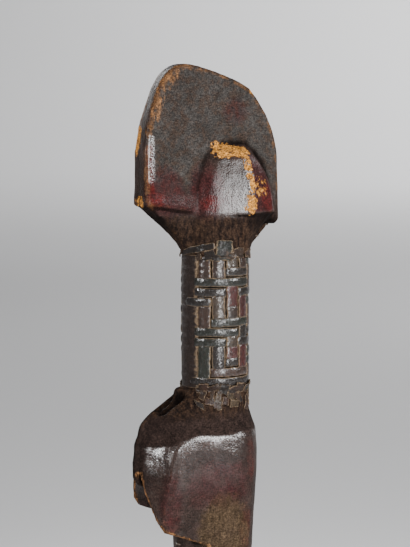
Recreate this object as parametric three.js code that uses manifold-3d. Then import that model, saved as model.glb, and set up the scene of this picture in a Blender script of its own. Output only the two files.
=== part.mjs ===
// A carved doll in a sewn leather cover, with a plaited leather sleeve round its neck.
// Millimetres, +Z up. The doll faces -Y, its left side is +X, and the origin is the middle of its underside.
import * as THREE from "three";
import { mergeVertices } from "three/addons/utils/BufferGeometryUtils.js";
import Module from "manifold-3d";

const wasm = await Module();
wasm.setup();

// Heights of the main forms above the floor.
const TOP_Z = 270;
const HEAD_UNDERSIDE_Z = 223;
const NECK_TOP_Z = 209.5;
const NECK_BOTTOM_Z = 167.5;
const SHOULDER_Z = 152.6;
const BREAST_TIP_Z = 122.5;

// The crest is a thick disc that stands fore and aft.
const CREST_THICKNESS = 9;
const CREST_CHIN_WIDENING = 1.12;
const CREST_TOP_THINNING = 0.62;
const CREST_FRONT_Y = -27.4;
const CREST_CHIN_BACK_Y = -13;
const CREST_BACK_Y = 21.3;
const CREST_PEAK_Y = -12;
const CREST_RIM_ROUNDING = 1.5;
const CREST_BROW_Z = 240;
const CREST_CROWN_START_Z = 237;
const CREST_NAPE_Z = 218.2;
const CREST_NAPE_CUT = 1.6;
const CREST_CHIN_RISE = 2.4;

// The crest's curved rim from its back over the peak to the brow: two handles and an end, as Y and Z.
const CREST_RIM_CURVES = [
  [[CREST_BACK_Y, 246], [19.2, 251], [14.2, 258.4]],
  [[12.8, 260.6], [12, 262], [10.4, 262.6]],
  [[5, 265.4], [-4, TOP_Z - 0.9], [CREST_PEAK_Y, TOP_Z]],
  [[-18, TOP_Z], [-21.6, 264.6], [-23.6, 258.5]],
  [[-25.4, 252.8], [CREST_FRONT_Y, 248], [CREST_FRONT_Y, CREST_BROW_Z]],
];

// Each side of the crest carries a lobe of hair with a knee in front and two facets that meet in a ridge.
// Every station gives X and Y where the lobe leaves the crest, at its knee, its ridge and its back corner.
const LOBE_STATIONS = [
  { z: 222.6, front: [4.6, -10.8], knee: [7.5, -5.6], ridge: [12.6, 6.4], corner: [8.5, 17], rear: [4.6, 18] },
  { z: 229, front: [4.4, -9.8], knee: [7.4, -4.8], ridge: [12.3, 6.6], corner: [8, 16.4], rear: [4.4, 17.4] },
  { z: 235, front: [4.2, -8], knee: [7, -3.6], ridge: [11.3, 6.4], corner: [7.3, 14.6], rear: [4.2, 15.8] },
  { z: 239.5, front: [4, -6], knee: [6.6, -2.4], ridge: [10, 6.2], corner: [6.6, 11.9], rear: [4, 13] },
  { z: 242.4, front: [3.8, -3.7], knee: [5.9, -0.9], ridge: [8.4, 5.9], corner: [5.9, 9.8], rear: [3.8, 10.8] },
  { z: 243.8, front: [3.7, -1.6], knee: [4.7, 0.6], ridge: [5.8, 5.4], corner: [4.9, 7.9], rear: [3.7, 8.8] },
];
const LOBE_HEART_X = 1;
const LOBE_ROUNDING = { heart: 0.1, front: 0.3, knee: 0.2, ridge: 0.12, corner: 0.25, rear: 0.3 };
const LOBE_STEP = 2;

// The neck, and the sleeve that lies in a groove round it.
const NECK_RADIUS = 10.9;
const SLEEVE_GAP = 0.3;
const SLEEVE_INNER_RADIUS = 9.5;
const SLEEVE_GROOVE_RADIUS = 10.1;
const PLAIT_COURSES = 12;
const PLAIT_COLUMNS = 12;
const FRONT_STRIP_ANGLE = THREE.MathUtils.degToRad(56);

// The trunk: height, half width, front and back at each station.
const TRUNK_STATIONS = [
  { z: 0, half: 21.2, front: -21.2, back: 21.2 },
  { z: 1.2, half: 22.4, front: -22.4, back: 22.4 },
  { z: 4.5, half: 22, front: -22, back: 22 },
  { z: 9, half: 18.2, front: -18.2, back: 18 },
  { z: 16, half: 14.2, front: -14.2, back: 13.6 },
  { z: 28, half: 11.6, front: -11.8, back: 10.6 },
  { z: 50, half: 10.6, front: -11.2, back: 9.6 },
  { z: 80, half: 11.2, front: -12.4, back: 10.2 },
  { z: 112, half: 11.8, front: -13.4, back: 11.4 },
  { z: 130, half: 12.3, front: -14, back: 12.6 },
  { z: 146, half: 12.8, front: -14.6, back: 13.6 },
  { z: SHOULDER_Z, half: 12.9, front: -13.8, back: 13.6, sharp: true },
  { z: 156.4, half: 11.8, front: -12, back: 12.2 },
  { z: 160.5, half: 10.7, front: -11.2, back: 10.4 },
  { z: NECK_BOTTOM_Z, half: NECK_RADIUS, front: -NECK_RADIUS, back: NECK_RADIUS },
];
const TRUNK_SQUARENESS = 2.25;
const TRUNK_STEP = 7;
const CORE_OVERLAP = 5;

// One breast: a wedge with a facet in front, from its inner edge to its ridge, and a flank behind the ridge.
// The sharp station is the crease where the sloping shoulder turns down into the facet and the flank.
const BREAST_STATIONS = [
  { z: 167.5, inner: [0, -12.4], ridge: [3.4, -10.2], flank: [7, -5] },
  { z: 162.5, inner: [0, -19.4], ridge: [7.4, -13.8], flank: [10, 0] },
  { z: 158.4, inner: [0, -26.2], ridge: [10.6, -18.8], flank: [11.4, 3] },
  { z: 155, inner: [0, -27.7], ridge: [11.8, -19.6], flank: [12.1, 4] },
  { z: SHOULDER_Z, inner: [0, -28.8], ridge: [13.4, -21.6], flank: [13, 4], sharp: true },
  { z: 148, inner: [0.2, -28.9], ridge: [13.3, -22.4], flank: [12.9, 4] },
  { z: 140, inner: [1.8, -28.7], ridge: [12.7, -23.4], flank: [12.6, 4] },
  { z: 135, inner: [3.6, -28.2], ridge: [11.9, -24.1], flank: [12.3, 3] },
  { z: 130, inner: [5.8, -27.2], ridge: [11.2, -24.5], flank: [12, 1] },
  { z: 126, inner: [7.6, -26.2], ridge: [10.6, -24.6], flank: [11.7, -2] },
  { z: BREAST_TIP_Z, inner: [8.8, -24], ridge: [10.2, -23], flank: [11.2, -7] },
];
const BREAST_STEP = 4;
// Roundings of the notch, inner edge, ridge, flank and heart, as shares of the sides that meet there.
const BREAST_ROUNDINGS = [0.28, 0.06, 0.12, 0.28, 0.28];
const BREAST_HEART_SHARE = 0.35;
const BREAST_NOTCH = { inward: 0.7, back: 0.55 };

// The crease falls towards the front, and the hem falls towards the back.
const CREASE_SLOPE = 0.12;
const CREASE_HIGH_Y = 4;
const CREASE_FADE_ABOVE = 7;
const CREASE_FADE_BELOW = 14;
const HEM_SLOPE = 0.36;
const HEM_START_Z = 138;

// The right breast is shorter and narrower than the left one.
const RIGHT_BREAST_SHORTENING = 6;
const RIGHT_BREAST_WIDTH = 0.9;

// The two halves of the cover are sewn together in a thin upright seam that stands proud of the front and back.
// Each edge is given as Y and Z, and the depth is how far the seam reaches back into the body.
const SEAM_THICKNESS = 1.2;
const SEAM_PROUD = 0.9;
const CHIN_SEAM = {
  depth: 5,
  edge: [
    [CREST_FRONT_Y + 0.6, HEAD_UNDERSIDE_Z + CREST_CHIN_RISE - 0.4],
    [CREST_FRONT_Y + 4.8, HEAD_UNDERSIDE_Z + CREST_CHIN_RISE - 4.2],
    [-17.2 - SEAM_PROUD, NECK_TOP_Z + 8],
    [-13.4 - SEAM_PROUD, NECK_TOP_Z + 4],
    [-NECK_RADIUS - SEAM_PROUD, NECK_TOP_Z],
  ],
};
const SHOULDER_SEAM = {
  depth: 9,
  edge: [
    [-13.7, NECK_BOTTOM_Z],
    [-15.4, NECK_BOTTOM_Z - 1.6],
    [-17.6, 163.4],
    [-22.4, 160.9],
    [-27, 157.6],
    [-28.9, 153.4],
    [-29.4, 146],
    [-28.6, 138],
    [-16, 133],
  ],
};
const NAPE_SEAM = {
  depth: -5,
  edge: [
    [CREST_BACK_Y - CREST_NAPE_CUT, CREST_NAPE_Z + 0.6],
    [17.6 + SEAM_PROUD, NECK_TOP_Z + 7.6],
    [13.8 + SEAM_PROUD, NECK_TOP_Z + 3.8],
    [NECK_RADIUS + SEAM_PROUD, NECK_TOP_Z],
  ],
};

// The funnel under the head: how fast it gathers, and how far it is let into the head.
const FUNNEL_STEPS = 9;
const FUNNEL_GATHER = 1.5;
const FUNNEL_RISE_INTO_HEAD = 1.5;
const FUNNEL_INSET_IN_HEAD = 1.2;

// Smoothness of the faceted surfaces.
const RING_POINTS = 40;
const ARC_STEPS = 12;

const leather = (color, roughness) => new THREE.MeshStandardMaterial({ color, roughness, metalness: 0 });
const DOLL_LEATHER = leather(0x4a3a35, 0.45);
const STRIP_LEATHER = leather(0x4b4238, 0.4);

const mix = (a, b, t) => a + (b - a) * t;
const clamp01 = (t) => Math.min(1, Math.max(0, t));

// Turns a closed three.js geometry into a manifold solid, with its faces turned outwards.
function solidFrom(geometry) {
  const bare = geometry.clone();
  bare.deleteAttribute("normal");
  bare.deleteAttribute("uv");
  const merged = mergeVertices(bare, 1e-4);
  const vertProperties = new Float32Array(merged.attributes.position.array);
  const triVerts = new Uint32Array(merged.index.array);
  const made = new wasm.Manifold(new wasm.Mesh({ numProp: 3, vertProperties, triVerts }));
  if (made.volume() > 0) return made;
  for (let i = 0; i < triVerts.length; i += 3) {
    [triVerts[i + 1], triVerts[i + 2]] = [triVerts[i + 2], triVerts[i + 1]];
  }
  return new wasm.Manifold(new wasm.Mesh({ numProp: 3, vertProperties, triVerts }));
}

// Turns a manifold solid back into a three.js geometry with flat shading normals.
function geometryFrom(solid) {
  const mesh = solid.getMesh();
  const geometry = new THREE.BufferGeometry();
  geometry.setAttribute("position", new THREE.BufferAttribute(new Float32Array(mesh.vertProperties), 3));
  geometry.setIndex(new THREE.BufferAttribute(new Uint32Array(mesh.triVerts), 1));
  geometry.computeVertexNormals();
  return geometry;
}

// A closed skin through rings of points that all have the same count, with a flat cap on each end.
function loft(rings) {
  const count = rings[0].length;
  const points = rings.flat();
  const index = [];
  for (let ring = 0; ring + 1 < rings.length; ring += 1) {
    for (let i = 0; i < count; i += 1) {
      const next = (i + 1) % count;
      const low = ring * count;
      const high = low + count;
      index.push(low + i, low + next, high + next, low + i, high + next, high + i);
    }
  }
  const top = (rings.length - 1) * count;
  capOf(rings[0]).forEach(([a, b, c]) => index.push(a, c, b));
  capOf(rings.at(-1)).forEach(([a, b, c]) => index.push(top + a, top + b, top + c));
  const geometry = new THREE.BufferGeometry().setFromPoints(points);
  geometry.setIndex(index);
  return geometry;
}

// Triangles that fill a ring, turned the way that the ring runs.
function capOf(ring) {
  const size = new THREE.Box3().setFromPoints(ring).getSize(new THREE.Vector3());
  const facesX = size.x < Math.min(size.y, size.z);
  const flat = ring.map((p) => (facesX ? new THREE.Vector2(p.y, p.z) : new THREE.Vector2(p.x, p.y)));
  const triangles = THREE.ShapeUtils.triangulateShape(flat, []);
  return THREE.ShapeUtils.isClockWise(flat) ? triangles.map(([a, b, c]) => [a, c, b]) : triangles;
}

// Points of a polygon with a rounding for each corner, always the same count for the same number of corners.
function roundedPolygon(corners, roundings, stepsPerCorner) {
  return corners.flatMap((corner, i) => {
    const before = corners.at(i - 1);
    const after = corners[(i + 1) % corners.length];
    const start = corner.clone().lerp(before, roundings[i]);
    const end = corner.clone().lerp(after, roundings[i]);
    return new THREE.QuadraticBezierCurve(start, corner, end).getPoints(stepsPerCorner);
  });
}

// Values between stations of rising or falling z, eased so that the form has a kink only at a sharp station.
function between(stations, z, read) {
  const falling = stations[0].z > stations.at(-1).z;
  const ordered = falling ? [...stations].reverse() : stations;
  const upper = ordered.findIndex((s) => s.z >= z);
  if (upper <= 0) return read(upper < 0 ? ordered.at(-1) : ordered[0]);
  const a = ordered[upper - 1];
  const b = ordered[upper];
  const before = ordered[Math.max(0, upper - 2)];
  const after = ordered[Math.min(ordered.length - 1, upper + 1)];
  const span = b.z - a.z;
  const t = (z - a.z) / span;
  const straight = (read(b) - read(a)) / span;
  const atEnd = upper === ordered.length - 1;
  const slopeIn = upper < 2 || a.sharp ? straight : (read(b) - read(before)) / (b.z - before.z);
  const slopeOut = atEnd || b.sharp ? straight : (read(after) - read(a)) / (after.z - a.z);
  return (
    (2 * t ** 3 - 3 * t ** 2 + 1) * read(a) +
    (t ** 3 - 2 * t ** 2 + t) * span * slopeIn +
    (3 * t ** 2 - 2 * t ** 3) * read(b) +
    (t ** 3 - t ** 2) * span * slopeOut
  );
}

// Levels from station to station, each stretch cut into equal steps.
function levels(stations, stepLength) {
  const list = [stations[0].z];
  for (let i = 1; i < stations.length; i += 1) {
    const span = stations[i].z - stations[i - 1].z;
    const steps = Math.max(1, Math.round(Math.abs(span) / stepLength));
    for (let s = 1; s <= steps; s += 1) list.push(stations[i - 1].z + (span * s) / steps);
  }
  return list;
}

// The trunk from the foot to the neck, then the thinner neck core inside the sleeve.
function trunk() {
  const rings = levels(TRUNK_STATIONS, TRUNK_STEP).map((z) => {
    const half = between(TRUNK_STATIONS, z, (s) => s.half);
    const front = between(TRUNK_STATIONS, z, (s) => s.front);
    const back = between(TRUNK_STATIONS, z, (s) => s.back);
    return ovalRing(z, half, front, back);
  });
  const coreRadius = SLEEVE_INNER_RADIUS - SLEEVE_GAP;
  rings.push(ovalRing(NECK_BOTTOM_Z, coreRadius, -coreRadius, coreRadius));
  rings.push(ovalRing(NECK_TOP_Z + CORE_OVERLAP, coreRadius, -coreRadius, coreRadius));
  return solidFrom(loft(rings));
}

// A ring that is a little squarer than an ellipse, and deeper in front than behind where asked.
function ovalRing(z, half, front, back) {
  const isRound = half === back && half === -front;
  const power = isRound ? 1 : 2 / TRUNK_SQUARENESS;
  return Array.from({ length: RING_POINTS }, (_, i) => {
    const angle = (i / RING_POINTS) * 2 * Math.PI;
    const x = Math.sign(Math.cos(angle)) * Math.abs(Math.cos(angle)) ** power * half;
    const depth = Math.abs(Math.sin(angle)) ** power;
    const y = Math.sin(angle) < 0 ? front * depth : back * depth;
    return new THREE.Vector3(x, y, z);
  });
}

// A point of a station's plan, as X and Y at a height between stations.
function planPoint(stations, z, key) {
  const read = (axis) => between(stations, z, (s) => s[key][axis]);
  return new THREE.Vector2(read(0), read(1));
}

// A breast on the +X side. Its rings lean at the crease and again at the hem.
function breast(tipRise) {
  const rings = levels(BREAST_STATIONS, BREAST_STEP).map((z) => {
    const [inner, ridge, flank] = ["inner", "ridge", "flank"].map((key) => planPoint(BREAST_STATIONS, z, key));
    const heart = new THREE.Vector2(flank.x * BREAST_HEART_SHARE, flank.y);
    const notch = new THREE.Vector2(inner.x * BREAST_NOTCH.inward, mix(inner.y, flank.y, BREAST_NOTCH.back));
    const outline = roundedPolygon([notch, inner, ridge, flank, heart], BREAST_ROUNDINGS, 3);
    const hem = HEM_SLOPE * clamp01((HEM_START_Z - z) / (HEM_START_Z - BREAST_TIP_Z));
    const fade = z > SHOULDER_Z ? (z - SHOULDER_Z) / CREASE_FADE_ABOVE : (SHOULDER_Z - z) / CREASE_FADE_BELOW;
    const crease = CREASE_SLOPE * (1 - clamp01(fade));
    const lift = tipRise * clamp01((SHOULDER_Z - z) / (SHOULDER_Z - BREAST_TIP_Z));
    return outline.map(
      (p) => new THREE.Vector3(p.x, p.y, z + lift - hem * (p.y - ridge.y) + crease * (p.y - CREASE_HIGH_Y)),
    );
  });
  return solidFrom(loft(rings));
}

// The crest's outline in the fore and aft plane, as a shape whose x is Y and whose y is Z.
function crestOutline() {
  const shape = new THREE.Shape();
  shape.moveTo(CREST_FRONT_Y, HEAD_UNDERSIDE_Z + CREST_CHIN_RISE);
  shape.lineTo(CREST_CHIN_BACK_Y, HEAD_UNDERSIDE_Z);
  shape.lineTo(CREST_BACK_Y - 4 * CREST_NAPE_CUT, HEAD_UNDERSIDE_Z - CREST_NAPE_CUT);
  shape.lineTo(CREST_BACK_Y - CREST_NAPE_CUT, CREST_NAPE_Z);
  shape.lineTo(CREST_BACK_Y, CREST_NAPE_Z + CREST_NAPE_CUT);
  shape.lineTo(CREST_BACK_Y, CREST_CROWN_START_Z);
  CREST_RIM_CURVES.forEach((curve) => shape.bezierCurveTo(...curve.flat()));
  shape.closePath();
  return shape;
}

// The crest is thickest at the chin and thins towards its top.
function crestDisc() {
  const plate = uprightPlate(crestOutline(), CREST_THICKNESS, CREST_RIM_ROUNDING);
  return plate.warp((point) => {
    const up = (point[2] - HEAD_UNDERSIDE_Z) / (TOP_Z - HEAD_UNDERSIDE_Z);
    point[0] *= mix(CREST_CHIN_WIDENING, CREST_TOP_THINNING, up);
  });
}

// Turns a shape drawn in Y and Z into a plate that is centred on X = 0.
function uprightPlate(shape, thickness, rounding) {
  const geometry = new THREE.ExtrudeGeometry(shape, {
    depth: thickness - 2 * rounding,
    bevelEnabled: rounding > 0,
    bevelThickness: rounding,
    bevelSize: rounding,
    bevelOffset: -rounding,
    bevelSegments: 3,
    curveSegments: ARC_STEPS,
  });
  geometry.translate(0, 0, rounding - thickness / 2);
  const upright = new THREE.Matrix4().makeBasis(
    new THREE.Vector3(0, 1, 0),
    new THREE.Vector3(0, 0, 1),
    new THREE.Vector3(1, 0, 0),
  );
  return solidFrom(geometry.applyMatrix4(upright));
}

// A lobe of hair on the +X side, from plan outlines that shrink towards its arched top.
function hairLobe() {
  const keys = ["front", "knee", "ridge", "corner", "rear"];
  const rings = levels(LOBE_STATIONS, LOBE_STEP).map((z) => {
    const plan = keys.map((key) => planPoint(LOBE_STATIONS, z, key));
    const frontHeart = new THREE.Vector2(LOBE_HEART_X, plan[0].y);
    const rearHeart = new THREE.Vector2(LOBE_HEART_X, plan.at(-1).y);
    const roundings = ["heart", ...keys, "heart"].map((key) => LOBE_ROUNDING[key]);
    const outline = roundedPolygon([frontHeart, ...plan, rearHeart], roundings, 3);
    return outline.map((p) => new THREE.Vector3(p.x, p.y, z));
  });
  return solidFrom(loft(rings));
}

// The outline of the head's underside, seen from above, as corners of its +X half from front to back.
const UNDERSIDE_INSET = 0.6;
const UNDERSIDE_CORNERS = [
  new THREE.Vector2(0, CREST_FRONT_Y + UNDERSIDE_INSET),
  new THREE.Vector2(CREST_THICKNESS / 2, CREST_FRONT_Y + 3 * UNDERSIDE_INSET),
  ...["front", "knee", "ridge", "corner"].map((key) => {
    const [x, y] = LOBE_STATIONS[0][key];
    return new THREE.Vector2(x - UNDERSIDE_INSET, y);
  }),
  new THREE.Vector2(CREST_THICKNESS / 2 - UNDERSIDE_INSET, CREST_BACK_Y - UNDERSIDE_INSET),
  new THREE.Vector2(0, CREST_BACK_Y - UNDERSIDE_INSET),
];

// Distance from the axis to the underside's outline in a direction.
function undersideReach(angle) {
  const x = Math.abs(Math.cos(angle));
  const y = Math.sin(angle);
  for (let i = 0; i + 1 < UNDERSIDE_CORNERS.length; i += 1) {
    const a = UNDERSIDE_CORNERS[i];
    const b = UNDERSIDE_CORNERS[i + 1];
    const cross = x * (b.y - a.y) - y * (b.x - a.x);
    const along = (y * a.x - x * a.y) / cross;
    const reach = (a.x * (b.y - a.y) - a.y * (b.x - a.x)) / cross;
    if (along >= -1e-9 && along <= 1 + 1e-9 && reach > 0) return reach;
  }
  throw new Error("the underside's outline has a gap");
}

// The funnel that gathers the head's underside into the round neck.
function funnel() {
  const chinStretch = CREST_CHIN_BACK_Y - CREST_FRONT_Y;
  const ringAt = (z, gather, inset) =>
    Array.from({ length: RING_POINTS }, (_, i) => {
      const angle = (i / RING_POINTS) * 2 * Math.PI;
      const reach = mix(undersideReach(angle) - inset, NECK_RADIUS, gather);
      const y = reach * Math.sin(angle);
      const chin = CREST_CHIN_RISE * (1 - gather) * clamp01((CREST_CHIN_BACK_Y - y) / chinStretch);
      return new THREE.Vector3(reach * Math.cos(angle), y, z + chin);
    });
  const rings = [ringAt(NECK_TOP_Z, 1, 0)];
  for (let i = 1; i <= FUNNEL_STEPS; i += 1) {
    const up = i / FUNNEL_STEPS;
    rings.push(ringAt(mix(NECK_TOP_Z, HEAD_UNDERSIDE_Z, up), 1 - up ** FUNNEL_GATHER, 0));
  }
  rings.push(ringAt(HEAD_UNDERSIDE_Z + FUNNEL_RISE_INTO_HEAD, 0, FUNNEL_INSET_IN_HEAD));
  return solidFrom(loft(rings));
}

// A thin upright seam: a strip between an edge that stands proud and one inside the body.
function seam({ edge, depth }) {
  const outer = new THREE.SplineCurve(edge.map(([y, z]) => new THREE.Vector2(y, z))).getPoints(edge.length * 3);
  const inner = outer.map((p) => new THREE.Vector2(p.x + depth, p.y)).reverse();
  return uprightPlate(new THREE.Shape([...outer, ...inner]), SEAM_THICKNESS, 0);
}

// The body: trunk, breasts, funnel, crest, hair lobes and seams joined in one solid.
function dollBody() {
  const lobe = hairLobe();
  const leftBreast = breast(0);
  const rightBreast = breast(RIGHT_BREAST_SHORTENING).scale([RIGHT_BREAST_WIDTH, 1, 1]).mirror([1, 0, 0]);
  const seams = [CHIN_SEAM, SHOULDER_SEAM, NAPE_SEAM].map(seam);
  const parts = [crestDisc(), funnel(), lobe, lobe.mirror([1, 0, 0]), leftBreast, rightBreast, ...seams];
  return parts.reduce((whole, part) => whole.add(part), trunk());
}

// The sleeve: columns of upright strips and courses of level strips that pass over each other in turn.
function neckPlait() {
  const plaited = 2 * Math.PI - FRONT_STRIP_ANGLE;
  const start = -Math.PI / 2 + FRONT_STRIP_ANGLE / 2;
  const columnEdges = Array.from({ length: PLAIT_COLUMNS }, (_, c) => [c, c + 1 / 6, c + 5 / 6]).flat();
  const places = columnEdges.map((c) => ({ angle: start + (plaited * c) / PLAIT_COLUMNS, column: c }));
  for (const part of [0, 0.03, 0.35, 0.65, 0.97]) {
    places.push({ angle: start + plaited + FRONT_STRIP_ANGLE * part, column: -1 });
  }
  const bottom = NECK_BOTTOM_Z + SLEEVE_GAP;
  const top = NECK_TOP_Z - SLEEVE_GAP;
  const rows = Array.from({ length: PLAIT_COURSES }, (_, r) => [r, r + 1 / 6, r + 5 / 6]).flat();
  rows.push(PLAIT_COURSES);
  const point = (radius, angle, z) => new THREE.Vector3(radius * Math.cos(angle), radius * Math.sin(angle), z);
  const reach = (place, row) => {
    if (place.column < 0) return NECK_RADIUS;
    const overCourse = (Math.floor(place.column) + Math.floor(row)) % 2 === 0;
    const across = overCourse ? row % 1 : place.column % 1;
    return across > 0 && across < 1 ? NECK_RADIUS : SLEEVE_GROOVE_RADIUS;
  };
  const skin = rows.map((row) =>
    places.map((place) => point(reach(place, row), place.angle, mix(bottom, top, row / PLAIT_COURSES))),
  );
  const lining = [top, bottom].map((z) => places.map((place) => point(SLEEVE_INNER_RADIUS, place.angle, z)));
  return solidFrom(closedTube([...skin, ...lining]));
}

// A skin through rings that come back to the first one, as on a hollow sleeve.
function closedTube(rings) {
  const count = rings[0].length;
  const index = [];
  rings.forEach((_, ring) => {
    const low = ring * count;
    const high = ((ring + 1) % rings.length) * count;
    for (let i = 0; i < count; i += 1) {
      const next = (i + 1) % count;
      index.push(low + i, low + next, high + next, low + i, high + next, high + i);
    }
  });
  const geometry = new THREE.BufferGeometry().setFromPoints(rings.flat());
  geometry.setIndex(index);
  return geometry;
}

// A named mesh from a finished solid.
function piece(name, solid, material) {
  const mesh = new THREE.Mesh(geometryFrom(solid), material);
  mesh.name = name;
  return mesh;
}

const doll = new THREE.Group();
doll.add(piece("doll_body", dollBody(), DOLL_LEATHER));
doll.add(piece("neck_plait", neckPlait(), STRIP_LEATHER));

export default doll;
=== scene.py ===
"""Looks of a carved doll in a sewn leather cover, with a plaited leather sleeve round its long neck."""

import math
import random

import bpy
import numpy as np
from bpy.props import FloatProperty, FloatVectorProperty, IntProperty, PointerProperty
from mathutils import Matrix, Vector, noise
from mathutils.bvhtree import BVHTree


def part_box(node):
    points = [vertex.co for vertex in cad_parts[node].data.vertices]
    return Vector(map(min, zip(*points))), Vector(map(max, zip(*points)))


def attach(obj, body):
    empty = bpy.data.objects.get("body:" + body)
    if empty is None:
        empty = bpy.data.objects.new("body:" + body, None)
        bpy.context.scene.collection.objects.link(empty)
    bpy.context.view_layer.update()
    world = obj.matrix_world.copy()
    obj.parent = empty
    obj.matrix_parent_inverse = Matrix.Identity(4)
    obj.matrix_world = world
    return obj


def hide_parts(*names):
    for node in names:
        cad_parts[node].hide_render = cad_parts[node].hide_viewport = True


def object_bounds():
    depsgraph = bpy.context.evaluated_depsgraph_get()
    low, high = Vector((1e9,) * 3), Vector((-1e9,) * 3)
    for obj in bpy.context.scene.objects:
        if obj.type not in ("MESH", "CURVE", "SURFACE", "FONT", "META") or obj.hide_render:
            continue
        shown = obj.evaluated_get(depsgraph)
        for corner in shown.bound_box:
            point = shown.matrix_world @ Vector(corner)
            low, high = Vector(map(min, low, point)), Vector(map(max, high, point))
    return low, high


bl_info = {
    "name": "Leather-covered Doll",
    "version": (1, 0, 0),
    "blender": (4, 5, 0),
    "location": "3D View > Sidebar > Doll",
    "description": "Builds the leather cover, plaited neck, stitches and studio of a carved doll",
    "category": "Object",
}

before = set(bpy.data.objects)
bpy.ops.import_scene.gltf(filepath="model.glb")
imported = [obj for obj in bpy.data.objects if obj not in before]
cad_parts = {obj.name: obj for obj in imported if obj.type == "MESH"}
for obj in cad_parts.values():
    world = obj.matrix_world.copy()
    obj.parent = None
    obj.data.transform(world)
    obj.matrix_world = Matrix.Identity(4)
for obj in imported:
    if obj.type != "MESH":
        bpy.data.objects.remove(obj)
CAD_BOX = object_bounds()
MM = 0.001

# Every place and length below is in millimetres, from the middle of the doll's underside.
HEAD_UNDERSIDE = 223.0
SLEEVE_LOW, SLEEVE_HIGH = [corner.z / MM for corner in map(Vector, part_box("neck_plait"))]
LINING_RADIUS, LINING_WALL = 10.0, 0.4
FRONT_STRIP_RADIUS, FRONT_STRIP_THICKNESS = 10.7, 0.6
STRIP_RADIUS, STRIP_CROWN, STRIP_TUCK = 10.75, 0.26, 0.6
BODY_NECK_RADIUS = 10.9
FLAP_RADIUS, FLAP_CROWN, FLAP_THICKNESS, FLAP_CLEARANCE = 11.45, 0.1, 0.35, 0.3

# The crease between the shoulders' slope and the breasts falls towards the front and arches at their sides.
CREASE_HEIGHT, CREASE_BACK, CREASE_SLOPE = 152.6, 4, 0.12
CREASE_ARCH, ARCH_MIDDLE, ARCH_REACH = 2.0, -13, 7
BREAST_LEAN, BREAST_TALL = 1.1, 13.5

# Bands: where each one starts, is full, wanes and ends. The first five are heights on the doll.
GATHERS_UNDER_HEAD = (208, 212, 218, 222.5)
GATHERS_ON_SHOULDERS = (155, 160, 164, 168)
EARTH_UNDER_HEAD = (204, 209, 219, 225)
EARTH_ON_SHOULDERS = (155, 163, 168, 171)
SHADE_UNDER_HEAD = (214.5, 221, 222.3, 222.8)
HAIR_LOBE = (221, 223, 239, 242)
LOBE_FRONT = (224, 228, 238, 244)
# These are heights above the crease.
ARCHED_PART = (-14, -1, 1, 12)
SHOULDER_SLOPE = (0.6, 4.5, 11, 17)
CREASE_EDGE = (-2.0, -0.8, 0.5, 1.6)

# Paths on the doll's left half, which its right half mirrors.
# The pocket is pressed in, and painted in shade.
POCKET = ((1.9, -20.6, 161.0), (1.9, -14.6, 164.4))
POCKET_DEPTH = 1.9
CREST_RIM = ((3.6, -25.0, 252), (3.4, -22.6, 258.5), (3.2, -19.8, 263.6), (3, -15.4, 267.6))
BREAST_RIDGE = ((13.4, -21.4, 149.6), (13, -22.4, 146), (12.6, -23.0, 140), (11.2, -24.2, 130))
CREST_FRONT_EDGE = ((5, -25.6, 229), (4.9, -26, 236), (4.5, -26, 244))
RUBBED_CREST_EDGE = ((5, -25.6, 234), (4.5, -25.4, 247))
LOBE_RIDGE = (
    (5.6, -1.2, 243.2), (6.4, 2.4, 243.4), (7.4, 5.8, 242.8), (9.9, 6.3, 239.5),
    (11.3, 6.6, 235), (12.0, 7.4, 231), (12.2, 6.9, 226.5), (12.4, 6.6, 223.6),
)
# The raw cut edge that bounds each breast inside and below. The right breast is shorter and narrower.
LEFT_HEM = (
    (2.0, -28.9, 140.5), (3.4, -28.4, 135), (5.8, -27.4, 130), (8.2, -25.8, 125),
    (10.0, -23.2, 122), (11.2, -14.0, 118.5), (11.4, -8.0, 116.5),
)
RIGHT_HEM = (
    (-2.52, -28.9, 137), (-3.06, -28.4, 138), (-5.22, -27.4, 134), (-7.38, -25.8, 130),
    (-9.0, -23.2, 127), (-10.08, -14.0, 123.5), (-10.26, -8.0, 121.5),
)

# Spots on the leather: strength, middle and reach, or only the last two where there is one spot. The
# right half mirrors all of them but RIM_WEAR, and its hair lobe is less worn by RIGHT_LOBE_WEAR.
LOBE_WEAR = ((0.85, (12, 6.4, 226), (5, 3.4, 5.2)), (0.44, (10, 11.0, 231), (5, 5, 6)))
MAROON_SPOTS = (
    (0.78, (5, -21, 229), (6, 11, 13)),
    (1.0, (7, -7, 230), (7, 8, 14)),
    (0.8, (5, -3, 226), (9, 24, 6)),
    (0.6, (12, -6, 137), (7, 20, 12)),
    (0.6, (11, -22, 133), (7, 6, 14)),
    (0.6, (5, 6, 255), (6, 8, 7)),
)
BLOOD_SPOTS = (
    (1.0, (4.8, -23.8, 227.6), (4, 4.5, 3.6)),
    (0.75, (9.5, 14, 227), (5, 5, 8)),
    (0.9, (8, -6, 226), (5, 5, 4)),
    (0.46, (11.5, 7.5, 144), (5, 4.5, 12)),
    (0.4, (11, -22, 125), (5, 6, 5)),
    (0.5, (12, 5, 122), (5, 5, 14)),
)
GRIME_SPOT = ((12, -3, 120), (8, 14, 19))
# A spot of painted shade between the breasts.
BETWEEN_BREASTS = ((0, -29, 142), (5, 5, 22))
RIM_WEAR = (
    (0.9, (-2.2, -27.4, 247), (3.4, 2.4, 8)),
    (0.7, (0, 20.9, 246.5), (5, 2.2, 4)),
    (0.75, (0, -5.2, 269), (3.4, 2.4, 1.8)),
    (0.75, (1, 12.4, 261), (4, 2.6, 3)),
    (0.55, (0, -27, 227), (5, 2, 3)),
)
RIGHT_LOBE_WEAR = 0.85

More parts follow.
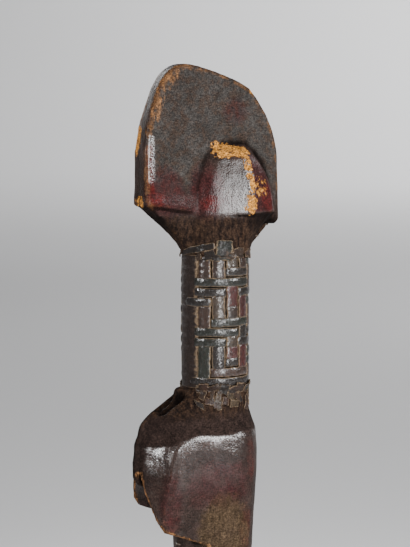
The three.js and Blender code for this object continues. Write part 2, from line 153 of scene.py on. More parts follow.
# Soft boxes: name, azimuth from the camera's and elevation in degrees, distance, width and height in
# metres, spread in degrees and the name of their power.
SOFT_BOXES = (
    ("Key Box", 22, 5, 0.6, 0.24, 0.42, 180, "key_power"),
    ("Side Box", -50, 15, 0.6, 0.09, 0.16, 180, "side_power"),
    ("Rear Box", 66, 17, 0.6, 0.17, 0.24, 180, "rear_power"),
    ("Back Box", 215, 25, 0.7, 0.35, 0.40, 70, "back_power"),
)
# The backdrop's lights, in metres: name, place and target as far behind the doll, right of it and
# above the floor, width and height, spread in degrees and the name of their power.
BACKDROP_LIGHTS = (
    ("Wall Light", (3.2, 1.7, 1.9), (5.0, 0.8, 0.5), 1.4, 0.8, 150, "wall_power"),
    ("Floor Light", (1.5, 1.6, 1.3), (1.8, 0.3, 0), 1.2, 0.8, 120, "floor_power"),
)
# The backdrop's measures, in metres.
COVE_FLOOR, COVE_RADIUS, COVE_WALL, COVE_STEPS = 8, 1.2, 1.6, 12
SKY_COLOUR, SKY_STRENGTH = (0.80, 0.81, 0.83, 1), 0.14
SENSOR_WIDTH = 36


def colour(name, description, red, green, blue):
    """A colour property whose default is given in the 0 to 255 steps of a paint chart."""
    linear = tuple(step_to_linear(step) for step in (red, green, blue))
    return FloatVectorProperty(name=name, description=description, subtype="COLOR", size=3, min=0, max=1,
                               default=linear)


def step_to_linear(step):
    share = step / 255
    return share / 12.92 if share <= 0.04045 else ((share + 0.055) / 1.055) ** 2.4


def length(name, description, millimetres):
    return FloatProperty(name=name, description=description, default=millimetres * MM, min=0, unit="LENGTH",
                         precision=5)


def bearing(name, description, degrees):
    return FloatProperty(name=name, description=description, default=math.radians(degrees), subtype="ANGLE")


def wattage(name, description, watts):
    return FloatProperty(name=name, description=description, default=watts, min=0, unit="POWER")


class DollSizes(bpy.types.PropertyGroup):
    """Sizes of the fine forms that the leather adds to the carving."""

    skin_step: length("Skin step", "Edge length of the leather's even mesh", 0.59)
    bulge_depth: length("Bulge depth", "Height of the broad unevenness of the leather", 0.16)
    crease_depth: length("Crease depth", "Depth of the fine creases where the leather is gathered", 0.07)
    worn_depth: length("Worn depth", "How far the worn spots lie below the leather round them", 0.16)
    face_dish: length("Face dish", "How far the middle of the crest's faces is hollowed", 0.45)
    seam_height: length("Seam height", "How far the closing seam stands out of the lower body", 0.45)
    strip_thickness: length("Strip thickness", "Thickness of a plaited strip", 0.55)
    stitch_spacing: length("Stitch spacing", "Distance between two stitches of the closing seam", 3.4)


class DollColours(bpy.types.PropertyGroup):
    """Colours of the leather, from its dark ground to its worn edges."""

    ground: colour("Ground", "Dark brown leather", 66, 52, 47)
    dusty: colour("Dusty face", "Grey-brown leather of the crest's faces", 82, 79, 76)
    maroon: colour("Maroon", "Red-brown leather", 80, 28, 32)
    blood: colour("Blood red", "Reddest edges", 108, 24, 20)
    ochre: colour("Ochre", "Places worn through to the flesh side", 192, 132, 62)
    tan: colour("Tan", "Raw cut edges", 150, 106, 68)
    grime: colour("Grime", "Olive dirt of the lower chest", 100, 82, 60)
    earth: colour("Earth", "Brown dirt of the neck", 76, 57, 44)
    # Near-black, painted as shade in hollows, the pocket, between the breasts, under the head and on the shoulders'
    # slope; also the black of the thread and the seam line.
    hollow: colour("Hollow", "Soot-dark hollows", 22, 16, 14)
    strip_green: colour("Green strip", "Green-black strips", 42, 46, 38)
    strip_brown: colour("Brown strip", "Brown strips", 72, 50, 40)
    strip_red: colour("Red strip", "Red strips", 92, 38, 36)
    strip_dark: colour("Dark strip", "Near-black strips", 44, 36, 32)
    strip_pale: colour("Pale strip", "Grey-tan strips", 84, 68, 54)
    strip_edge: colour("Strip edge", "Raw edges of the strips", 150, 126, 98)
    floor: colour("Floor", "Pale floor and backdrop", 214, 214, 215)


class DollStudio(bpy.types.PropertyGroup):
    """Camera and lights."""

    camera_azimuth: bearing("Camera azimuth", "Camera's place round the doll", 60)
    camera_elevation: bearing("Camera elevation", "Camera's height angle", 6)
    camera_distance: length("Camera distance", "From the camera to the neck", 700)
    view_width: length("View width", "Width of the picture at the doll", 131.2)
    view_height: length("View centre height", "Height on the doll at the picture's middle", 203)
    view_side: length("View centre side", "How far the picture's middle lies left of the neck", 3.2)
    key_power: wattage("Key power", "Soft box right of the camera", 10.6)
    side_power: wattage("Side power", "Soft box in front of the doll", 5.5)
    rear_power: wattage("Rear power", "Soft box right behind the doll", 8.6)
    back_power: wattage("Back power", "Soft box left behind the doll", 1.6)
    wall_power: wattage("Wall power", "Light on the wall alone", 93)
    floor_power: wattage("Floor power", "Light on the floor behind the doll", 20)
    seed: IntProperty(name="Seed", description="Start of all chance variation", default=7)


def sizes():
    return bpy.context.scene.doll_sizes


def colours():
    return bpy.context.scene.doll_colours


def studio():
    return bpy.context.scene.doll_studio


# Small helpers for objects and meshes

def select_only(obj):
    bpy.ops.object.select_all(action="DESELECT")
    obj.select_set(True)
    bpy.context.view_layer.objects.active = obj


def added(primitive, **settings):
    """The object that a mesh operator adds."""
    bpy.ops.object.select_all(action="DESELECT")
    primitive(**settings)
    return bpy.context.object


def apply_modifier(obj, name, kind, **settings):
    """Adds a modifier with these settings and applies it."""
    select_only(obj)
    modifier = obj.modifiers.new(name, kind)
    for key, value in settings.items():
        setattr(modifier, key, value)
    bpy.ops.object.modifier_apply(modifier=modifier.name)


def in_edit_mode(obj, *steps):
    """Runs edit-mode steps on the whole mesh."""
    select_only(obj)
    bpy.ops.object.mode_set(mode="EDIT")
    bpy.ops.mesh.select_all(action="SELECT")
    for step in steps:
        step()
    bpy.ops.object.mode_set(mode="OBJECT")


def merge_doubles():
    bpy.ops.mesh.remove_doubles(threshold=1e-6)


def face_outwards():
    bpy.ops.mesh.normals_make_consistent(inside=False)


def read_points(mesh):
    flat = np.empty(len(mesh.vertices) * 3)
    mesh.vertices.foreach_get("co", flat)
    return flat.reshape(-1, 3) / MM


def read_normals(mesh):
    flat = np.empty(len(mesh.vertices) * 3)
    mesh.vertex_normals.foreach_get("vector", flat)
    return flat.reshape(-1, 3)


def write_points(mesh, points):
    mesh.vertices.foreach_set("co", (points * MM).ravel())
    mesh.update()


def write_mask(mesh, name, values):
    layer = mesh.attributes.new(name, "FLOAT", "POINT")
    layer.data.foreach_set("value", np.clip(values, 0, 1).astype(np.float32))


def finish_piece(obj, node, slot_name, *materials):
    """Gives a piece its materials, smooth shading and body, and hides its CAD node; the slot name is not used."""
    obj.data.materials.clear()
    for material in materials:
        obj.data.materials.append(material)
    select_only(obj)
    bpy.ops.object.shade_smooth()
    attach(obj, "root")
    if node:
        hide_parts(node)


def steps_noise(points, size, seed):
    """Smooth noise between -1 and 1 whose bumps are about this many millimetres apart."""
    shift = Vector((seed * 13.7, seed * 7.3, seed * 3.1))
    return np.array([noise.noise(Vector(p) / size + shift) for p in points])


def smooth_step(low, high, values):
    t = np.clip((values - low) / (high - low), 0, 1)
    return t * t * (3 - 2 * t)


def band(values, start, full, wane, end):
    """1 between full and wane, 0 before start and after end."""
    return smooth_step(start, full, values) * (1 - smooth_step(wane, end, values))


def spot(points, middle, reach):
    """1 in the middle of an ellipsoid, 0 outside it."""
    away = np.linalg.norm((points - np.array(middle)) / np.array(reach), axis=1)
    return 1 - smooth_step(0.35, 1.0, away)


def spots(points, table):
    """The strongest of several spots, each with its strength, middle and reach."""
    return strongest(*(strength * spot(points, middle, reach) for strength, middle, reach in table))


def strongest(*masks):
    return np.maximum.reduce(masks)


def near_path(points, path, reach):
    """1 on a path of straight stretches, 0 further away than this reach."""
    best = np.full(len(points), 1e9)
    for start, end in zip(path, path[1:]):
        start = np.array(start, float)
        along = np.array(end, float) - start
        t = np.clip((points - start) @ along / (along @ along), 0, 1)
        best = np.minimum(best, np.linalg.norm(points - start - t[:, None] * along, axis=1))
    return 1 - smooth_step(0.4 * reach, reach, best)


# The leather cover

def spread(mesh, values, rounds):
    """Evens values out over the mesh by averaging each point with its neighbours."""
    ends = np.empty(len(mesh.edges) * 2, dtype=np.int64)
    mesh.edges.foreach_get("vertices", ends)
    a, b = ends.reshape(-1, 2).T
    size = len(values)
    count = np.bincount(a, minlength=size) + np.bincount(b, minlength=size)
    result = values.reshape(size, -1).copy()
    for _ in range(rounds):
        for column in result.T:
            total = np.bincount(a, weights=column[b], minlength=size)
            total += np.bincount(b, weights=column[a], minlength=size)
            column[:] = (column + total / count) / 2
    return result.reshape(values.shape)


def above_crease(points, arched=True):
    """Height above the sharp crease between the shoulders' slope and the breasts."""
    straight = points[:, 2] - CREASE_HEIGHT - CREASE_SLOPE * np.minimum(points[:, 1] - CREASE_BACK, 0)
    return straight - crease_arch(points) if arched else straight


def crease_arch(points):
    """How far the crease rises over a straight line on each breast's side."""
    bell = np.exp(-((points[:, 1] - ARCH_MIDDLE) / ARCH_REACH) ** 2)
    return CREASE_ARCH * bell * smooth_step(4, 9, np.abs(points[:, 0]))


def within_cad_box(points):
    return np.clip(points, np.array(CAD_BOX[0]) / MM, np.array(CAD_BOX[1]) / MM)


def round_forms(mesh):
    """Arches the crease, and rounds the shoulders' slope and the front edge of each hair lobe."""
    points = read_points(mesh)
    points[:, 2] += crease_arch(points) * band(above_crease(points, arched=False), *ARCHED_PART)
    above = above_crease(points)
    points += (spread(mesh, points, 60) - points) * band(above, *SHOULDER_SLOPE)[:, None]
    x, y, z = points.T
    lobe_front = smooth_step(6.5, 8.5, np.abs(x)) * (1 - smooth_step(-1, 3, y)) * band(z, *LOBE_FRONT)
    points += (spread(mesh, points, 30) - points) * 0.9 * lobe_front[:, None]
    write_points(mesh, points)
    return points, above


def cover_relief(mesh):
    """Moves the skin's points: broad bulges, gathered creases, dished faces, the pocket and the seam."""
    size = sizes()
    points, above = round_forms(mesh)
    normals = read_normals(mesh)
    x, y, z = points.T
    wide = np.abs(x)
    above_floor = smooth_step(0.0, 3.0, z)
    bulges = steps_noise(points, 9, 1) + 0.5 * steps_noise(points, 3.2, 2)
    out = size.bulge_depth / MM * bulges * above_floor
    # Gathers run from the head's underside down into the neck, and fan out over the shoulders.
    gathers = band(z, *GATHERS_UNDER_HEAD) + 0.5 * band(z, *GATHERS_ON_SHOULDERS)
    turns = np.arctan2(x, -y)
    folds = np.array([noise.noise(Vector((turn * 7, height / 22, 4.0))) for turn, height in zip(turns, z)])
    wrinkles = above_floor * steps_noise(points * np.array([1, 1, 0.45]), 1.6, 3)
    out += size.crease_depth / MM * (3.6 * gathers * folds + wrinkles)
    # The crest's faces are a little hollow between the rim and the hair lobes.
    on_face = smooth_step(0.85, 0.97, np.abs(normals[:, 0]))
    on_face *= smooth_step(HEAD_UNDERSIDE, HEAD_UNDERSIDE + 6, z)
    out -= size.face_dish / MM * on_face * spot(points * np.array([0, 1, 1]), (0, -4, 248), (1, 24, 26))
    # Below its crease each breast's side leans in a little.
    lean = np.clip(above / BREAST_TALL + 1, 0, 1) ** 2 * (1 - smooth_step(0, 13, above))
    out -= BREAST_LEAN * lean * smooth_step(2, 9, wide)
    # The closing seam runs down the back and the front of the lower body.
    below_head = 1 - smooth_step(SLEEVE_LOW - 6, SLEEVE_LOW, z)
    out += size.seam_height / MM * (1 - smooth_step(0.35, 0.95, wide)) * below_head * above_floor
    for side in (1, -1):
        out -= POCKET_DEPTH * near_path(points * np.array([side, 1, 1]), POCKET, 2.7)
    write_points(mesh, within_cad_box(points + normals * out[:, None]))


class Skin:
    """The leather's points, normals and bends. A bend is above 0 on an edge and below 0 in a hollow."""

    def __init__(self, mesh):
        self.points = read_points(mesh)
        self.normals = read_normals(mesh)
        x, self.y, self.z = self.points.T
        self.left = x > 0
        self.wide = np.abs(x)
        self.mirrored = np.c_[self.wide, self.y, self.z]
        self.above = above_crease(self.points)
        self.bend = self.bends(mesh, 40, 2)
        self.fine_bend = self.bends(mesh, 6, 1)

    def bends(self, mesh, rounds, evening):
        """How far each point stands out of its evened-out neighbourhood."""
        off = np.einsum("ij,ij->i", self.points - spread(mesh, self.points, rounds), self.normals)
        return spread(mesh, off, evening)


def form_masks(skin):
    """Worn edges, painted shade in hollows, the pocket, between the breasts and under the head, and the rim that
    carries the seam.
    """
    z, down = skin.z, -skin.normals[:, 2]
    # Painted shade: concave places, the pocket, between the breasts and the underside of the head are darkened.
    hollow = strongest(
        smooth_step(0.08, 0.5, -skin.bend),
        near_path(skin.mirrored, POCKET, 3.2),
        0.7 * spot(skin.mirrored, *BETWEEN_BREASTS),
        band(z, *SHADE_UNDER_HEAD) * smooth_step(0.1, 0.4, down),
        0.9 * smooth_step(0.2, 0.5, down) * smooth_step(209, 221, z),
    )
    seam_zone = strongest(smooth_step(224, 226, z), 1 - smooth_step(SLEEVE_LOW - 4, SLEEVE_LOW, z))
    return {
        "edge": 0.5 * smooth_step(0.16, 0.42, skin.bend) * smooth_step(226, 232, z),
        "hollow": hollow,
        "ridge": smooth_step(0.03, 0.13, skin.fine_bend) * (0.25 + 0.75 * smooth_step(222, 226, z)),
        "rim": (1 - smooth_step(0.3, 0.75, np.abs(skin.normals[:, 0]))) * seam_zone,
    }


def wear_masks(skin):
    """Places worn through to the flesh side, and raw cut edges."""
    lobes = strongest(
        0.85 * near_path(skin.mirrored, LOBE_RIDGE[:3], 4.4),
        0.62 * near_path(skin.mirrored, LOBE_RIDGE[2:6], 2.2),
        spots(skin.mirrored, LOBE_WEAR),
    )
    lobes *= np.where(skin.left, 1, RIGHT_LOBE_WEAR)
    hems = strongest(near_path(skin.points, LEFT_HEM, 2.0), near_path(skin.points, RIGHT_HEM, 2.0))
    return {
        "ochre": strongest(lobes, spots(skin.points, RIM_WEAR)),
        "tan": strongest(0.5 * near_path(skin.mirrored, CREST_RIM, 3.4), 0.8 * hems),
    }


def colour_masks(skin):
    """Reds, dust and dirt."""
    y, z, wide = skin.y, skin.z, skin.wide
    lobe_back = smooth_step(6, 9, y) * smooth_step(6, 8, wide) * smooth_step(222, 224, z)
    face = smooth_step(0.80, 0.95, np.abs(skin.normals[:, 0])) * (1 - smooth_step(5.0, 6.4, wide))
    lower_body, foot = 1 - smooth_step(60, 118, z), 1 - smooth_step(2, 9, z)
    return {
        "maroon": strongest(spots(skin.mirrored, MAROON_SPOTS), lobe_back, 0.5 * (1 - smooth_step(60, 112, z))),
        "blood": strongest(spots(skin.mirrored, BLOOD_SPOTS), near_path(skin.points, CREST_FRONT_EDGE, 1.8)),
        "dust": face * smooth_step(224, 236, z),
        "grime": strongest(spot(skin.mirrored, *GRIME_SPOT), 0.35 * lower_body, 0.8 * foot),
        "earth": strongest(0.9 * band(z, *EARTH_UNDER_HEAD), 0.95 * band(z, *EARTH_ON_SHOULDERS)),
    }


def polish_masks(skin):
    """Facets that hands have polished, and the slope of the shoulders between them, painted in shade and dulled."""
    y, z, wide, above = skin.y, skin.z, skin.wide, skin.above
    crease = smooth_step(0.04, 0.18, skin.bend) * band(above, *CREASE_EDGE)
    on_front = smooth_step(0.45, 0.7, -skin.normals[:, 1])
    breast = smooth_step(-22, -1, above) * (1 - on_front) + smooth_step(-10, -4.5, above) * on_front
    breast *= (1 - smooth_step(0.0, 1.2, above)) * smooth_step(2.0, 4.5, wide) * (1 - 0.7 * smooth_step(-3, 7, y))
    breast *= 1 - near_path(skin.mirrored, BREAST_RIDGE, 3.2)
    lobe = smooth_step(5.4, 8.0, wide) * band(z, *HAIR_LOBE)
    lobe *= (0.2 + 0.53 * smooth_step(-8, 2, y)) * (1 - 0.45 * smooth_step(228, 237, z))
    crest_edge = near_path(skin.mirrored, RUBBED_CREST_EDGE, 1.7)
    lower_body = 0.25 * (1 - smooth_step(90, 118, z))
    return {
        "polish": strongest(breast, crease * smooth_step(4, 6, wide), lobe, crest_edge, lower_body),
        # Painted shade: the upward-facing slope of the shoulders above the crease is darkened, and dulled.
        "soot": smooth_step(-0.2, 1.2, above) * (1 - smooth_step(172, 178, z)) * (1 - crease),
    }


def cover_masks(mesh):
    """Stores where the leather is worn, red, dusty, dirty, painted in shade and polished, as values on its points.
    """
    skin = Skin(mesh)
    for masks in (form_masks(skin), wear_masks(skin), colour_masks(skin), polish_masks(skin)):
        for name, values in masks.items():
            write_mask(mesh, name, values)


def sink_worn_spots(mesh):
    """Lowers the spots where the top of the leather has worn off."""
    points = read_points(mesh)
    worn = np.empty(len(points), dtype=np.float32)
    mesh.attributes["ochre"].data.foreach_get("value", worn)
    ragged = smooth_step(0.42, 0.58, worn + 0.3 * steps_noise(points, 1.5, 5))
    depth = sizes().worn_depth / MM * ragged
    write_points(mesh, points - read_normals(mesh) * depth[:, None])


class DOLL_OT_cover(bpy.types.Operator):
    """Covers the carved doll with creased, worn leather"""

    bl_idname = "doll.cover"
    bl_label = "Leather Cover"

    def execute(self, context):
        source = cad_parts["doll_body"]
        cover = bpy.data.objects.new("Leather_Cover", source.data.copy())
        context.scene.collection.objects.link(cover)
        in_edit_mode(cover, merge_doubles, face_outwards)
        apply_modifier(cover, "Even skin", "REMESH", mode="VOXEL", voxel_size=sizes().skin_step)
        apply_modifier(cover, "Soft edges", "SMOOTH", factor=0.5, iterations=3)
        cover_relief(cover.data)
        cover_masks(cover.data)
        sink_worn_spots(cover.data)
        finish_piece(cover, "doll_body", "doll_leather", doll_leather())
        return {"FINISHED"}


# The plaited neck

# Courses of the side that shows best, from top to bottom, column by column from front to back.
# L is a level strip and U an upright one, then g green, b brown, r red, k dark or p pale.
SHOWN_COURSES = (
    "Ub Ub Up Ub Lg Ub",
    "Ub Ub Lk Lk Ub Lg",
    "Lg Lg Lg Lg Ub Lg",
    "Lk Lk Ur Lk Lk Ur",
    "Lk Up Ur Ur Lg Lg",
    "Ub Up Ub Ur Ub Lg",
    "Ub Lg Lg Lg Ub Ur",
    "Lg Lg Lg Uk Lk Lk",
    "Lg Lg Up Lk Lk Ub",
    "Ug Uk Ur Ur Lg Ub",
    "Ug Uk Lk Ur Lg Lg",
    "Ug Lb Lb Lb Ub Lg",
    "Lk Lk Lk Lk Lk Uk",
)
COLUMNS = 12
FRONT_STRIP_HALF_ANGLE = math.radians(28)

# Rows of frayed strip ends below and above the sleeve: lowest and highest middle, and how many.
FLAP_ROWS = (
    (SLEEVE_LOW - 1.4, SLEEVE_LOW + 0.2, 28),
    (SLEEVE_LOW - 4.5, SLEEVE_LOW - 1.5, 24),
    (SLEEVE_LOW - 7.5, SLEEVE_LOW - 3, 16),
    (SLEEVE_HIGH - 0.2, SLEEVE_HIGH + 1.4, 24),
)
# Larger ends that show: angle round the neck, height, width, length, turn and tint.
SHOWN_FLAPS = (
    (1.17, SLEEVE_LOW - 4.4, 1.7, 5.6, 0.03, "strip_pale"),
    (0.95, SLEEVE_LOW - 3.2, 1.3, 4.6, -0.1, "earth"),
    (1.32, SLEEVE_HIGH + 2.2, 5.4, 6.4, -0.08, "strip_green"),
    (0.44, SLEEVE_HIGH + 2.4, 13.5, 2.3, 0.2, "strip_dark"),
)


def full_courses():
    """The shown columns, and their like for the far side, shifted and with other colours here and there."""
    chance = random.Random(studio().seed)
    courses = []
    for row, shown in enumerate(SHOWN_COURSES):
        other = SHOWN_COURSES[(row + 5) % len(SHOWN_COURSES)].split()
        chance.shuffle(other)
        courses.append(shown.split() + other)
    return courses


def strip_runs(courses):
    """Joins equal neighbours: level strips along their course, upright ones down their column."""
    done = set()
    runs = []
    for row, course in enumerate(courses):
        for column, cell in enumerate(course):
            if (row, column) in done:
                continue
            rows, columns = 1, 1
            if cell[0] == "L":
                while column + columns < COLUMNS and course[column + columns] == cell:
                    columns += 1
            else:
                while row + rows < len(courses) and rows < 3 and courses[row + rows][column] == cell:
                    rows += 1
            done.update((row + r, column + c) for r in range(rows) for c in range(columns))
            runs.append((cell, row, column, rows, columns))
    return runs


def on_neck(angle, height, radius):
    """A point round the neck; angle 0 is the front and a quarter turn is the doll's left."""
    return Vector((radius * math.sin(angle), -radius * math.cos(angle), height)) * MM


def lay_strip(name, angles, heights, level, chance, radius=STRIP_RADIUS, cells=1, crown=STRIP_CROWN,
              tuck=STRIP_TUCK, sink=(0, 0)):
    """Lays one strip on the neck: a curved, bulging patch whose ends dip under its neighbours.

    Cells is its length in courses or columns, and sink is how far its lower and upper edges lie in.
    """
    along_steps = 6 * cells + 2 if level else 7 * cells
    across_steps = 7
    steps = (along_steps, across_steps) if level else (across_steps, along_steps)
    strip = added(bpy.ops.mesh.primitive_grid_add, x_subdivisions=steps[0], y_subdivisions=steps[1], size=1)
    strip.name = name
    tilt = chance.uniform(-0.10, 0.10)
    lift = chance.uniform(-0.12, 0.10)
    edge_layer = strip.data.attributes.new("raw_edge", "FLOAT", "POINT")
    waver = chance.uniform(0, 50)
    for vertex in strip.data.vertices:
        u, v = vertex.co.x + 0.5, vertex.co.y + 0.5
        along, across = (u, v) if level else (v, u)
        at_end = smooth_step(1 - 0.16 / cells, 1 - 0.05 / cells, abs(2 * along - 1))
        edge_layer.data[vertex.index].value = max(smooth_step(0.6, 0.98, abs(2 * across - 1)), 0.9 * at_end)
        ragged = 0.07 * noise.noise(Vector((along * 3 * cells, across * 2, waver)))
        if level:
            v += ragged + tilt * (u - 0.5)
        else:
            u += ragged + tilt * 0.5 * (v - 0.5)
        angle = angles[0] + (angles[1] - angles[0]) * u
        height = heights[0] + (heights[1] - heights[0]) * v
        swell = crown * (1 - (2 * across - 1) ** 2)
        end = 1 - 0.2 / cells
        dip = tuck * smooth_step(end, 1.0, abs(2 * along - 1))
        vertex.co = on_neck(angle, height, radius + lift + swell - dip - sink[0] * (1 - v) - sink[1] * v)
    return strip


def paint_strip(strip, tint, chance, rough=0.0):
    """Stores the strip's own colour, a little lighter or darker than its kind, and its dullness on its points."""
    shade = chance.uniform(0.75, 1.25)
    write_mask(strip.data, "rough", np.full(len(strip.data.vertices), rough))
    layer = strip.data.attributes.new("strip_tint", "FLOAT_COLOR", "POINT")
    for item in layer.data:
        item.color = (tint[0] * shade, tint[1] * shade, tint[2] * shade, 1)


def thicken(strip, thickness):
    apply_modifier(strip, "Thickness", "SOLIDIFY", thickness=thickness, offset=-1)
    apply_modifier(strip, "Round edges", "SUBSURF", levels=1, render_levels=1)


def joined(name, pieces):
    """Several pieces as one mesh under one name."""
    bpy.ops.object.select_all(action="DESELECT")
    for piece in pieces:
        piece.select_set(True)
    bpy.context.view_layer.objects.active = pieces[0]
    bpy.ops.object.join()
    whole = bpy.context.object
    whole.name = name
    whole.data.name = name
    return whole


def strip_tints():
    c = colours()
    return {"g": c.strip_green, "b": c.strip_brown, "r": c.strip_red, "k": c.strip_dark, "p": c.strip_pale}


class DOLL_OT_plait(bpy.types.Operator):
    """Plaits the level and upright strips round the neck"""

    bl_idname = "doll.plait"
    bl_label = "Plaited Strips"

    def execute(self, context):
        chance = random.Random(studio().seed + 1)
        courses = full_courses()
        tints = strip_tints()
        pitch = (SLEEVE_HIGH - SLEEVE_LOW) / len(courses)
        turn = (2 * math.pi - 2 * FRONT_STRIP_HALF_ANGLE) / COLUMNS
        strips = []
        for cell, row, column, rows, columns in strip_runs(courses):
            level = cell[0] == "L"
            slack = 0.03 * pitch
            high = SLEEVE_HIGH - row * pitch - (slack if level else -0.3 * pitch)
            low = SLEEVE_HIGH - (row + rows) * pitch + (slack if level else -0.3 * pitch)
            low = max(low, SLEEVE_LOW - 1.2)
            high = min(high, SLEEVE_HIGH + 0.7)
            if row == 0 and level:
                high += 0.5
            gap = -0.10 * turn if level else 0.03 * turn
            first = FRONT_STRIP_HALF_ANGLE + column * turn + gap
            last = FRONT_STRIP_HALF_ANGLE + (column + columns) * turn - gap
            radius = STRIP_RADIUS
            if level and column == 0:
                first -= chance.choice((0.1, 0.3, 0.5))
                radius += 0.2
            sink = (0.35 if row + rows == len(courses) else 0, 0.35 if row == 0 else 0)
            strip = lay_strip(f"strip_{row}_{column}", (first, last), (low, high), level, chance, radius,
                              rows * columns, sink=sink)
            paint_strip(strip, tints[cell[1]], chance)
            strips.append(strip)
        plait = joined("Plaited_Strips", strips)
        thicken(plait, sizes().strip_thickness)
        in_edit_mode(plait, face_outwards)
        finish_piece(plait, "neck_plait", "strip_leather", strip_leather())
        return {"FINISHED"}


class DOLL_OT_lining(bpy.types.Operator):
    """Makes the near-black lining under the plait, painted shade in the gaps between strips, and the plain upright
    strip that closes it in front
    """

    bl_idname = "doll.lining"
    bl_label = "Lining and Front Strip"

    def execute(self, context):
        chance = random.Random(studio().seed + 2)
        middle = (SLEEVE_LOW + SLEEVE_HIGH) / 2 * MM
        height = (SLEEVE_HIGH - SLEEVE_LOW) * MM
        lining = added(bpy.ops.mesh.primitive_cylinder_add, vertices=72, radius=LINING_RADIUS * MM, depth=height,
                       location=(0, 0, middle), end_fill_type="NOTHING")
        bpy.ops.object.transform_apply(location=True, rotation=True, scale=True)
        apply_modifier(lining, "Wall", "SOLIDIFY", thickness=LINING_WALL * MM, offset=-1)
        write_mask(lining.data, "raw_edge", np.zeros(len(lining.data.vertices)))
        # The lining's near-black is painted shade where it shows between the strips.
        paint_strip(lining, colours().hollow, chance, rough=0.8)

        half_angle = FRONT_STRIP_HALF_ANGLE + 0.03
        front = lay_strip("front", (-half_angle, half_angle), (SLEEVE_LOW - 0.6, SLEEVE_HIGH + 0.6), False,
                          random.Random(3), radius=FRONT_STRIP_RADIUS, cells=12, tuck=0)
        for vertex in front.data.vertices:
            height = vertex.co.z / MM
            bulge = 0.13 * math.sin(height * 2.0 + 3 * noise.noise(vertex.co / MM / 6))
            bulge += 0.2 * noise.noise(vertex.co / MM / 2.5)
            vertex.co.x *= 1 + bulge / 11
            vertex.co.y *= 1 + bulge / 11
        paint_strip(front, colours().ground, chance, rough=0.88)
        thicken(front, FRONT_STRIP_THICKNESS * MM)
        whole = joined("Neck_Lining", [lining, front])
        in_edit_mode(whole, face_outwards)
        finish_piece(whole, "neck_plait", "strip_leather", strip_leather())
        return {"FINISHED"}


class DOLL_OT_tongues(bpy.types.Operator):
    """Lays the frayed strip ends that lap over the leather above and below the plait"""

    bl_idname = "doll.tongues"
    bl_label = "Frayed Strip Ends"

    def execute(self, context):
        chance = random.Random(studio().seed + 3)
        cover = bpy.data.objects["Leather_Cover"]
        c = colours()
        tints = (c.strip_dark, c.strip_brown, c.earth, c.strip_green, c.earth, c.grime, c.earth)
        flaps = []
        for low, high, count in FLAP_ROWS:
            for i in range(count):
                angle = FRONT_STRIP_HALF_ANGLE + (i + chance.uniform(0.1, 0.9)) * (2 * math.pi - 1.0) / count
                height = chance.uniform(low, high)
                wide = chance.uniform(1.6, 3.6)
                tall = chance.uniform(1.4, 3.4)
                turned = chance.uniform(-0.5, 0.5)
                flaps.append(self.flap(angle, height, wide, tall, turned, chance.choice(tints), chance))
        for angle, height, wide, tall, turned, tint in SHOWN_FLAPS:
            flaps.append(self.flap(angle, height, wide, tall, turned, getattr(c, tint), chance))
        whole = joined("Frayed_Strip_Ends", flaps)
        laid = read_points(whole.data)
        apply_modifier(whole, "Lie on the leather", "SHRINKWRAP", target=cover, wrap_method="NEAREST_SURFACEPOINT",
                       wrap_mode="OUTSIDE_SURFACE", offset=FLAP_CLEARANCE * MM)
        self.lap_over_sleeve(whole, laid)
        thicken(whole, FLAP_THICKNESS * MM)
        in_edit_mode(whole, face_outwards)
        finish_piece(whole, None, "strip_leather", strip_leather())
        return {"FINISHED"}

    def lap_over_sleeve(self, flaps, laid):
        """Puts what reaches onto the plait back where it was laid, and keeps all of it outside the plait."""
        points = read_points(flaps.data)
        height = laid[:, 2]
        over = band(height, SLEEVE_LOW - 0.8, SLEEVE_LOW, SLEEVE_HIGH, SLEEVE_HIGH + 0.8)
        points += (laid - points) * over[:, None]
        radius = np.hypot(points[:, 0], points[:, 1])
        points[:, :2] *= np.maximum(1.0, (BODY_NECK_RADIUS + 0.1) / radius)[:, None]
        write_points(flaps.data, points)

    def flap(self, angle, height, wide, tall, turned, tint, chance):
        """A torn piece of strip, in millimetres, turned a little on the neck."""
        half_angle = wide / 2 / BODY_NECK_RADIUS
        strip = lay_strip("flap", (angle - half_angle, angle + half_angle),
                          (height - tall / 2, height + tall / 2), wide > tall, chance, cells=2,
                          crown=FLAP_CROWN, tuck=0)
        for vertex in strip.data.vertices:
            round_way = (math.atan2(vertex.co.x, -vertex.co.y) - angle + math.pi) % (2 * math.pi) - math.pi
            across = round_way * BODY_NECK_RADIUS
            up = vertex.co.z / MM - height
            tear = 0.35 * noise.noise(Vector((across * 0.8, up * 0.8, angle * 5)))
            new_across = across * math.cos(turned) - up * math.sin(turned) + tear
            new_up = across * math.sin(turned) + up * math.cos(turned) + tear
            vertex.co = on_neck(angle + new_across / BODY_NECK_RADIUS, height + new_up, FLAP_RADIUS)
        for item in strip.data.attributes["raw_edge"].data:
            item.value *= 0.8
        paint_strip(strip, tint, chance, rough=0.8)
        return strip


# Stitches

# Stretches of the closing seam: front (-1) or back (1), and from which height up to which.
SEAMS = ((1, 210.5, 219), (1, 8, 158), (-1, 8, 118))
STITCH_RADIUS, THREAD_RADIUS, STITCH_SUNK = 0.95, 0.24, 0.55


def surface_at(tree, height, outward):
    """The leather's outermost point in the doll's middle plane at a height, from the front (-1) or the back (1)."""
    hit = tree.ray_cast(Vector((0, outward * 0.1, height * MM)), Vector((0, -outward, 0)))
    if hit[0] is None:
        raise RuntimeError(f"no leather at height {height}")
    return hit[0]


